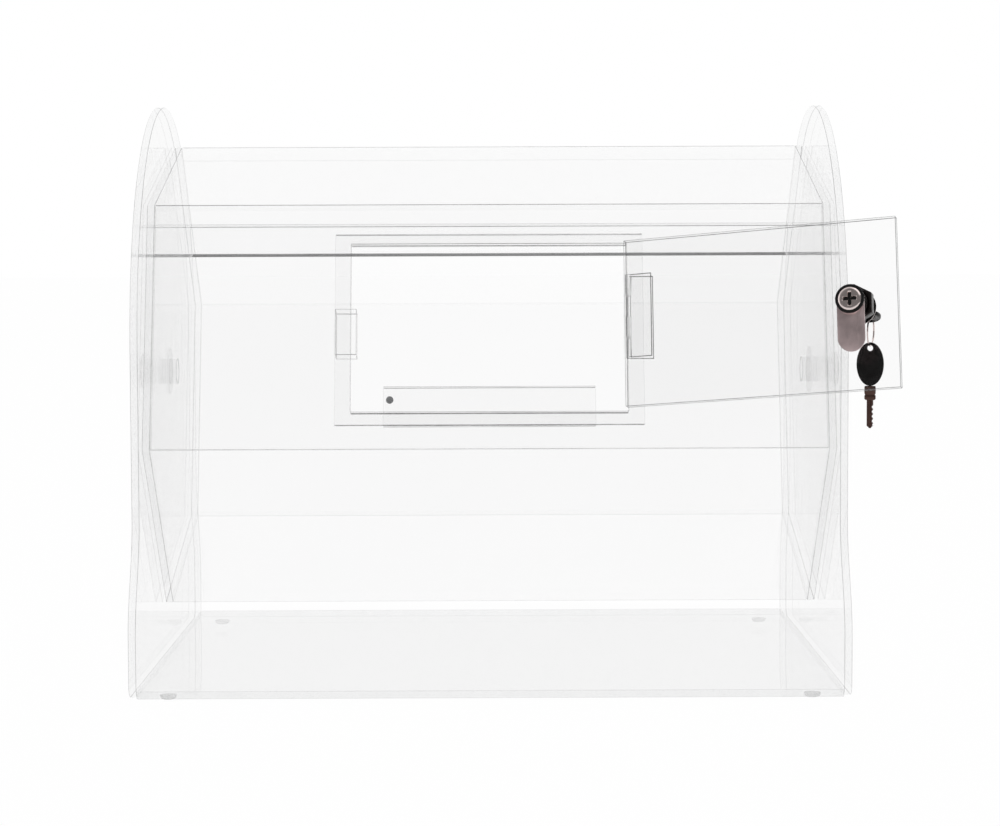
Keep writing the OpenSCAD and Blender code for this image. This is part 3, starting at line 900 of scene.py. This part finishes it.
class DRUM_OT_lock(bpy.types.Operator):
    """Make the cam lock"""

    bl_idname = "drum.lock"
    bl_label = "Cam lock"
    bl_options = {"REGISTER", "UNDO"}

    # Gap round the plug, and how far plug, nut and cam are drawn in
    bore_ease = 0.00005
    plug_ease = 0.00002
    nut_ease = 0.00002
    cam_ease = 0.00001
    # Gap behind the barrel and behind the key's tip, and how deep the plug's face is sunk
    end_gap = 0.0003
    # The thread on the barrel: where it starts, its pitch and its depth
    thread_start = 0.0008
    pitch = 0.0012
    thread_depth = 0.0005
    # Width of a softened rim on the plug's face and on its shaft
    face_rim = 0.0005
    shaft_rim = 0.0004

    def execute(self, context):
        """Barrel and nut stay with the door; plug, cam and cap turn in it."""
        self.add_barrel()
        self.add_nut()
        self.add_plug()
        self.add_cam()
        self.add_cap()
        return {"FINISHED"}

    def add_barrel(self):
        """A threaded tube under a domed flange, with the ring where the plug sits and the bore painted
        near-black as shade.

        One closed profile runs over the dome, a quarter ellipse, into the bore, back along the thread, whose
        turns climb from root to crest and drop again, and out under the flange.
        """
        low, high = measure(LOCK, "lock_barrel")
        back, front, flange = low[0], high[0], high[1]
        bore = measure(LOCK, "lock_plug")[1][1] + self.bore_ease
        crest = barrel_radius()
        root = crest - self.thread_depth
        edge_share, dome_share = 0.25, 0.35
        bend = np.linspace(0, math.pi / 2, 8)
        dome = np.stack([
            front * (edge_share + (1 - edge_share) * np.sin(bend)),
            flange - (flange - bore) * dome_share * (1 - np.cos(bend)),
        ], axis=1)
        ledge = front * 0.7
        # painted shade: the ring round the plug's mouth, like the bore, takes the near-black finish
        painted_shade_ring = [(front, bore + 0.0012), (ledge, bore + 0.0007), (ledge, bore)]
        inner = [(back + 0.0005, bore), (back, bore + 0.0005), (back, crest - 0.0008)]
        thread = []
        for turn in range(int((-back - 0.001) / self.pitch)):
            start = back + self.thread_start + turn * self.pitch
            thread += [(start, root), (start + self.pitch * 0.35, crest), (start + self.pitch * 0.6, crest)]
        under = [(0.0, root), (0.0, flange)]
        profile = np.array([*dome, *painted_shade_ring, *inner, *thread, *under])
        bright, dark, painted_shade_recess = 0, 1, 2
        marks = np.full(len(profile), dark)
        marks[: len(dome)] = bright
        # painted shade: the ring and the bore behind it are marked for the near-black finish
        marks[len(dome): len(dome) + len(painted_shade_ring) + 1] = painted_shade_recess
        marks[-1] = bright
        shell = turned(LOCK, profile, sides=80, slots=marks, wrap=True)
        piece_from("threaded_barrel", [shell], finishes("nickel", "dark_metal", "painted_shade_recess"), "door",
                   ["lock_barrel"], sharp=25)

    def add_nut(self):
        """A chamfered hexagonal nut."""
        bevelled_copy("lock_nut", "hex_nut", finishes("dark_metal"), "door",
                      corner=0.0005, hair=self.nut_ease, segments=2)

    def add_plug(self):
        """A round plug with a rimmed face, a keyway slot in it, and a thinner shaft behind; the sunk ring of
        its face and the slot are painted near-black as shade.

        The slot is a rectangle: at each angle it reaches as far as the nearer of its two pairs of walls.
        """
        low, high = measure(LOCK, "lock_plug")
        back, front, radius = low[0], high[0], high[1] - self.plug_ease
        shoulder = measure(LOCK, "lock_barrel")[0][0] - self.end_gap
        slot_end = measure(LOCK, "key_blade")[0][0] - self.end_gap
        shaft = shaft_radius()
        sides = 96
        angle = np.linspace(0, TURN, sides, endpoint=False)
        half_width, half_thickness = blade_half_sizes()
        round_y, round_z = np.cos(angle), np.sin(angle)
        slot = 1 / np.maximum(np.abs(round_y) / half_width, np.abs(round_z) / half_thickness)

        def ring(along, radii):
            """One ring of points: a distance along the axis and a radius for each angle."""
            radii = np.broadcast_to(radii, angle.shape)
            return np.stack([np.full(sides, along), radii * round_y, radii * round_z], axis=1)

        rim, sunk = self.shaft_rim, front - self.end_gap
        rows = [
            ring(back, shaft - rim), ring(back + rim, shaft), ring(shoulder, shaft),
            ring(shoulder, radius), ring(front - rim, radius), ring(front, radius - self.face_rim),
            ring(front, radius * 0.72), ring(sunk, radius * 0.68), ring(sunk, slot), ring(slot_end, slot),
        ]
        # painted shade: the second finish, near-black, goes on the sunk ring of the face, the slot's walls
        # and its end
        shell = loft(LOCK.out(np.array(rows)), slots=(0, 0, 0, 0, 0, 0, 1, 0, 1), caps=(0, 1))
        piece_from("keyed_plug", [shell], finishes("nickel", "painted_shade_recess"), "lock_turning_parts",
                   ["lock_plug"], sharp=25)

    def add_cam(self):
        """A flat steel lever with rounded ends and softened rims."""
        bevelled_copy("lock_cam", "steel_cam", finishes("satin_cam", "dark_metal"), "lock_turning_parts",
                      corner=0.0006, hair=self.cam_ease, segments=2)

    def add_cap(self):
        """A domed screw head inside a raised rim: a ring groove painted near-black as shade, then a dome with
        a cross cut into it, painted near-black as shade too.

        The head is an elliptic dome. A point sinks where it is within an arm's half width of either cross
        line and inside the cross's reach, both with a short slope.
        """
        low, high = measure(LOCK, "cam_cap_nut")
        front, back, radius = high[0], low[0], high[1]
        height = front - back
        sides = 96
        angle = np.linspace(0, TURN, sides, endpoint=False)
        round_y, round_z = np.cos(angle), np.sin(angle)
        across = np.minimum(np.abs(round_y), np.abs(round_z))
        head = radius * 0.79
        dome_rise, cross_depth = height * 0.26, height * 0.4
        arm_half, arm_slope = head * 0.16, head * 0.05
        cross_reach, reach_slope = head * 0.62, head * 0.08
        rim = [
            (front, radius * 0.97), (front - height * 0.3, radius), (back + height * 0.5, radius),
            (back + height * 0.36, radius * 0.96), (back + height * 0.42, radius * 0.84),
            (back + height * 0.42, head), (back + height * 0.34, head * 0.99),
        ]
        rings = [np.stack([np.full(sides, x), r * round_y, r * round_z], axis=1) for x, r in rim]
        shares = np.linspace(1.0, 0.06, 16)
        for share in shares:
            r = head * share * 0.95
            dome = back + dome_rise * (1 - math.sqrt(1 - share ** 2))
            in_arm = np.clip((arm_half - across * r) / arm_slope, 0, 1)
            in_reach = np.clip((cross_reach - r) / reach_slope, 0, 1)
            rings.append(np.stack([dome + cross_depth * in_arm * in_reach, r * round_y, r * round_z], axis=1))
        # dark is the near-black finish: painted shade in the rim's groove
        bright, dark = 0, 1
        points, faces, marks = loft(
            LOCK.out(np.array(rings)),
            slots=[bright] * 2 + [dark] * 3 + [bright] * (len(shares) + 1),
        )
        # painted shade: faces sunk into the cross take the near-black finish
        local = LOCK.into(points)
        depth = local[:, 0] - (back + dome_rise)
        sunk = (depth > height * 0.1) & (np.hypot(local[:, 1], local[:, 2]) < head * 0.7)
        marks = [dark if sunk[face].mean() > 0.6 else mark for face, mark in zip(faces, marks)]
        piece_from("domed_cap", [(points, faces, marks)], finishes("nickel", "painted_shade_recess"),
                   "lock_turning_parts", ["cam_cap_nut"], sharp=25)


def barrel_radius():
    """Radius of the lock's barrel, from its corners behind the flange."""
    local = LOCK.into(points_of("lock_barrel"))
    behind = local[local[:, 0] < -0.001]
    return np.hypot(behind[:, 1], behind[:, 2]).max()


def shaft_radius():
    """Radius of the plug's shaft, from its corners at the very back."""
    local = LOCK.into(points_of("lock_plug"))
    last = local[local[:, 0] < local[:, 0].min() + 0.0005]
    return np.hypot(last[:, 1], last[:, 2]).max()


def blade_half_sizes():
    """Half the keyway's width and thickness, from its corners at its closed end."""
    local = LOCK.into(points_of("lock_plug"))
    blade_tip = measure(LOCK, "key_blade")[0][0]
    closed_end = local[np.abs(local[:, 0] - blade_tip) < 0.001]
    return np.abs(closed_end[:, 1]).max(), np.abs(closed_end[:, 2]).max()


# ---- Keys ----


def key_seat(blade, along, thin_axis):
    """A key's own axes: x along it towards its head, z across its thickness, start at the blade's tip."""
    seat = Seat(middle(blade), along, thin_axis)
    low, high = measure(seat, blade)
    centre = (low + high) / 2
    return Seat(seat.out((low[0], centre[1], centre[2])), seat.axes[0], seat.axes[2])


def head_shell(seat, head):
    """An oval head: rings run from the hole's rim out to the oval, thick at a raised border and rounded off.

    Each ring is part of the way from the hole's circle to the oval, both taken at the same angle round the
    hole. How far the oval is from the hole at each angle is the larger root of the oval's equation along
    that line. The hole is narrower than the solid's and touches it at the side towards the head's end.
    """
    low, high = measure(seat, head)
    start, end, half_width, half_thickness = low[0], high[0], high[1], high[2]
    wide_x, wide_radius = hole_of(seat, head)
    hole_radius = wide_radius * 0.62
    hole_x = wide_x + wide_radius - hole_radius
    half_length = (end - start) / 2
    offset = hole_x - (end - half_length)
    angle = np.linspace(0, TURN, 96, endpoint=False)
    cosine, sine = np.cos(angle), np.sin(angle)
    square_term = (cosine / half_length) ** 2 + (sine / half_width) ** 2
    cross_term = offset * cosine / half_length ** 2
    last_term = (offset / half_length) ** 2 - 1
    reach = (-cross_term + np.sqrt(cross_term ** 2 - square_term * last_term)) / square_term
    outer = np.stack([hole_x + reach * cosine, reach * sine], axis=1)
    inner = np.stack([hole_x + hole_radius * cosine, hole_radius * sine], axis=1)
    # Each ring's share of the way out, and its height as a share of half the thickness
    shares = np.array([0.0, 0.05, 0.14, 0.5, 0.66, 0.74, 0.86, 0.95, 1.0])
    heights = np.array([0.55, 0.78, 0.84, 0.84, 0.84, 1.0, 1.0, 0.86, 0.4]) * half_thickness
    shares = np.concatenate([shares, shares[::-1]])
    heights = np.concatenate([heights, -heights[::-1]])
    flat = inner[None] * (1 - shares[:, None, None]) + outer[None] * shares[:, None, None]
    tall = np.broadcast_to(heights[:, None, None], (*flat.shape[:2], 1))
    return loft(seat.out(np.concatenate([flat, tall], axis=-1)), wrap=True)


def hole_of(seat, head):
    """Middle and radius of the hole in a key's head, from the corners that lie well inside its oval."""
    local = seat.into(points_of(head))
    low, high = local.min(axis=0), local.max(axis=0)
    centre, half = (low + high) / 2, (high - low) / 2
    well_inside = 0.85
    inner = local[(((local - centre) / half)[:, :2] ** 2).sum(axis=1) < well_inside]
    radius = np.abs(inner[:, 1] - centre[1]).max()
    return inner[:, 0].max() - radius, radius


def blade_shell(seat, blade):
    """A key blade: one grooved section carried along the key, its upper edge cut by a saw-tooth wave."""
    length, width, thickness = blade_sizes(seat, blade)
    teeth, cut_start, cut_end, cut_depth = 6.0, 0.1, 0.8, 0.24
    tip_length, tip_width = 0.08, 0.35
    along = np.linspace(0, length, 49)
    wave = np.abs((along / length * teeth) % 1.0 - 0.5) * 2
    toothed = (along > length * cut_start) & (along < length * cut_end)
    cut = np.where(toothed, 1 - wave, 0.0) * width * cut_depth
    taper = np.clip(along / (length * tip_length), tip_width, 1.0)
    face = thickness / 2
    groove = face - thickness * 0.18
    section_y = np.array([0.5, 0.18, 0.1, -0.1, -0.18, -0.5, -0.5, -0.18, -0.1, 0.1, 0.18, 0.5]) * width
    upper = np.array([face, face, groove, groove, face, face])
    section_z = np.concatenate([upper, -upper])
    top = section_y > width * 0.4
    y = section_y[None] * taper[:, None] - cut[:, None] * top[None]
    z = np.broadcast_to(section_z, y.shape)
    x = np.broadcast_to(along[:, None], y.shape)
    return loft(seat.out(np.stack([x, y, z], axis=-1)))


def blade_sizes(seat, blade):
    """Length, width and thickness of the blade alone, from its corners ahead of the collar."""
    local = seat.into(points_of(blade))
    tip = local[local[:, 0] < 0.001]
    half_width, half_thickness = np.abs(tip[:, 1]).max(), np.abs(tip[:, 2]).max()
    collar = local[np.abs(local[:, 1]) > half_width + 0.0002]
    return collar[:, 0].min(), 2 * half_width, 2 * half_thickness


def collar_shell(seat, blade):
    """The collar: an oblong section carried from the blade to the head, narrower at both ends.

    The section is a superellipse: each half size times the cosine or sine raised to a power, sign kept.
    """
    high = measure(seat, blade)[1]
    start = blade_sizes(seat, blade)[0]
    end, half_width, half_thickness = high
    blunt, thickness_share = 0.45, 0.96
    angle = np.linspace(0, TURN, 40, endpoint=False)
    y = half_width * np.sign(np.cos(angle)) * np.abs(np.cos(angle)) ** blunt
    z = half_thickness * np.sign(np.sin(angle)) * np.abs(np.sin(angle)) ** blunt
    # Each ring's share of the way along, and its size as a share of the section
    places = np.array([0.0, 0.08, 0.3, 0.38, 0.46, 0.9, 1.0])
    sizes = np.array([0.8, 1.0, 1.0, 0.86, 1.0, 1.0, 0.92])[:, None]
    x = start + (end - start) * places[:, None]
    rows = np.stack(np.broadcast_arrays(x, y[None] * sizes, z[None] * sizes * thickness_share), axis=-1)
    return loft(seat.out(rows))


class DRUM_OT_keys(bpy.types.Operator):
    """Make the key in the lock, its ring and the spare key"""

    bl_idname = "drum.keys"
    bl_label = "Keys and ring"
    bl_options = {"REGISTER", "UNDO"}

    def execute(self, context):
        """Both keys from the same shapes, each in its own place."""
        spare_thin = JOINTS["spare_key_swing"]["axis"]
        hang = middle("spare_key_head") - middle("spare_key_blade")
        self.add_key("key", "key_blade", "key_head", LOCK.axes[0], LOCK.axes[2])
        self.add_key("spare_key", "spare_key_blade", "spare_key_head", hang, spare_thin)
        self.add_ring()
        return {"FINISHED"}

    def add_key(self, body, blade, head, along, thin_axis):
        """Steel blade and collar in one piece, and the moulded head in another."""
        seat = key_seat(blade, along, thin_axis)
        steel = [blade_shell(seat, blade), collar_shell(seat, blade)]
        plastic = [head_shell(seat, head)]
        piece_from(f"cut_{blade}", steel, finishes("aged_blade"), body, [blade], sharp=30)
        piece_from(f"moulded_{head}", plastic, finishes("polished_black"), body, [head],
                   sharp=40)

    def add_ring(self):
        """A split ring: one wire wound twice round the same circle, its two turns side by side.

        The wire keeps to one side through the first turn, crosses over in a short stretch round the middle
        and keeps to the other side through the second.
        """
        points = points_of("key_ring")
        centre = points.mean(axis=0)
        hang = unit(centre - np.array(JOINTS["ring_swing"]["pos_m"]))
        normal = unit(np.cross(JOINTS["ring_swing"]["axis"], hang))
        seat = Seat(centre, hang, normal)
        local = seat.into(points)
        outer = np.hypot(local[:, 0], local[:, 1]).max()
        solid_wire = local[:, 2].max()
        wire = solid_wire / 2
        crossing = TURN * 0.08
        turn = np.linspace(0, 2 * TURN, 192)
        shift = wire * np.clip((turn - TURN) / crossing, -1, 1)
        around = np.linspace(0, TURN, 12, endpoint=False)
        radius = outer - solid_wire + wire * np.cos(around)[None]
        rows = np.stack([
            radius * np.cos(turn)[:, None],
            radius * np.sin(turn)[:, None],
            shift[:, None] + wire * np.sin(around)[None],
        ], axis=-1)
        piece_from("split_ring", [loft(seat.out(rows))], finishes("bright_wire"), "ring", ["key_ring"],
                   sharp=60)


# ---- Studio ----

# Each lamp's name, place, size and share of the main lamp's power
LAMPS = (
    ("main_lamp", (0.9, -1.7, 3.4), 3.0, 1.0),
    ("fill_lamp", (-3.2, -0.6, 1.2), 2.0, 0.25),
    ("back_lamp", (0.3, 1.8, 3.6), 1.6, 0.4),
)
# Half the floor's length, and the share of it that is plain white to sight
FLOOR_REACH = 30.0
FLOOR_WHITE = 0.985
# Layers of clear sheet that a line of sight may cross
CLEAR_LAYERS = 64


class DRUM_OT_stage(bpy.types.Operator):
    """Make the floor, lamps, white surroundings and camera"""

    bl_idname = "drum.stage"
    bl_label = "Studio"
    bl_options = {"REGISTER", "UNDO"}

    def execute(self, context):
        """Everything that is not part of the object."""
        studio = context.scene.drum_studio
        self.add_floor()
        self.light_room(context.scene, studio)
        self.add_lamps(studio)
        self.add_camera(context.scene, studio)
        return {"FINISHED"}

    def add_floor(self):
        """A wide pale floor that keeps a light shadow and runs white into the distance."""
        signs = ((-1, -1), (1, -1), (1, 1), (-1, 1))
        corners = [(FLOOR_REACH * x, FLOOR_REACH * y, 0) for x, y in signs]
        mesh = empty_mesh("floor", [self.floor_material()])
        mesh.from_pydata(corners, [], [(0, 1, 2, 3)])
        floor = bpy.data.objects.new("floor", mesh)
        bpy.context.scene.collection.objects.link(floor)

    def floor_material(self):
        """White for sight and mirrors, with a small share of real shading that shows the shadow."""
        paint = Shader("pale_floor")
        path = paint.add("ShaderNodeLightPath").outputs
        seen = paint.maths("MAXIMUM", path["Is Camera Ray"], path["Is Glossy Ray"])
        seen = paint.maths("MAXIMUM", seen, path["Is Transmission Ray"])
        matt = paint.add("ShaderNodeBsdfDiffuse", Color=grey(0.9)).outputs[0]
        white = paint.add("ShaderNodeEmission", Color=grey(1.0), Strength=1.0).outputs[0]
        return paint.done(paint.mix(paint.maths("MULTIPLY", seen, FLOOR_WHITE), matt, white))

    def light_room(self, scene, studio):
        """White to sight, softer as a source of light; gloss shows it white behind and dim in front."""
        world = bpy.data.worlds.new("white_room")
        world.use_nodes = True
        scene.world = world
        room = Wiring(world.node_tree)
        path = room.add("ShaderNodeLightPath").outputs
        direction = room.add("ShaderNodeTexCoord").outputs["Generated"]
        back = room.add("ShaderNodeSeparateXYZ", Vector=direction).outputs["Y"]
        dim_before, white_beyond = -0.55, 0.15
        mirrored = room.between(back, studio.front_gloss, 1.0, start=dim_before, end=white_beyond)
        for_light = room.between(path["Is Glossy Ray"], studio.room_light, mirrored)
        seen = room.maths("MAXIMUM", path["Is Camera Ray"], path["Is Transmission Ray"])
        sky = room.add("ShaderNodeBackground", Color=grey(1.0), Strength=room.between(seen, for_light, 1.0))
        room.add("ShaderNodeOutputWorld", Surface=sky.outputs[0])

    def add_lamps(self, studio):
        """Three broad soft lamps, each turned towards the drum: its axes are the columns of its matrix."""
        for name, place, size, share in LAMPS:
            lamp = bpy.data.lights.new(name, "AREA")
            lamp.energy = studio.lamp_power * share
            lamp.size = size
            holder = bpy.data.objects.new(name, lamp)
            bpy.context.scene.collection.objects.link(holder)
            back = unit(np.array(place) - DRUM.start)
            side = unit(np.cross((0, 0, 1), back))
            aim = Matrix(np.stack([side, np.cross(back, side), back], axis=1).tolist()).to_4x4()
            aim.translation = place
            holder.matrix_world = aim

    def add_camera(self, scene, studio):
        """The camera stands in front, a little above the axle, and looks slightly down."""
        camera = bpy.data.cameras.new("camera")
        camera.lens = studio.lens
        camera.sensor_width = 36.0
        camera.clip_end = 100.0
        holder = bpy.data.objects.new("camera", camera)
        scene.collection.objects.link(holder)
        axle = DRUM.start
        holder.location = (
            axle[0] + studio.camera_side,
            axle[1] - studio.camera_back,
            axle[2] + studio.camera_rise,
        )
        turn = (
            Matrix.Rotation(-studio.yaw, 3, "Z")
            @ Matrix.Rotation(math.pi / 2 - studio.pitch, 3, "X")
            @ Matrix.Rotation(studio.roll, 3, "Z")
        )
        holder.rotation_euler = turn.to_euler()
        scene.camera = holder
        scene.view_settings.view_transform = "Standard"
        scene.cycles.transparent_max_bounces = CLEAR_LAYERS


class DRUM_PT_panel(bpy.types.Panel):
    """Sidebar list of the drum's pieces and settings"""

    bl_idname = "DRUM_PT_panel"
    bl_label = "Raffle drum"
    bl_space_type = "VIEW_3D"
    bl_region_type = "UI"
    bl_category = "Raffle drum"

    def draw(self, context):
        """One button for each operator, then the settings."""
        for operator in OPERATORS:
            self.layout.operator(operator.bl_idname)
        for settings in (context.scene.drum_looks, context.scene.drum_studio):
            box = self.layout.box()
            for name in settings.__annotations__:
                box.prop(settings, name)


OPERATORS = (
    DRUM_OT_stand, DRUM_OT_feet, DRUM_OT_shell, DRUM_OT_axles, DRUM_OT_bumper, DRUM_OT_door,
    DRUM_OT_hinge, DRUM_OT_lock, DRUM_OT_keys, DRUM_OT_stage,
)
CLASSES = (DrumLooks, StudioLooks, *OPERATORS, DRUM_PT_panel)


def register():
    """Add the classes and settings."""
    for cls in CLASSES:
        bpy.utils.register_class(cls)
    bpy.types.Scene.drum_looks = bpy.props.PointerProperty(type=DrumLooks)
    bpy.types.Scene.drum_studio = bpy.props.PointerProperty(type=StudioLooks)


def unregister():
    """Remove the settings and classes."""
    del bpy.types.Scene.drum_studio
    del bpy.types.Scene.drum_looks
    for cls in reversed(CLASSES):
        bpy.utils.unregister_class(cls)


def main():
    """Make every piece in order."""
    register()
    for operator in OPERATORS:
        group, name = operator.bl_idname.split(".")
        getattr(getattr(bpy.ops, group), name)()


if __name__ == "__main__":
    main()
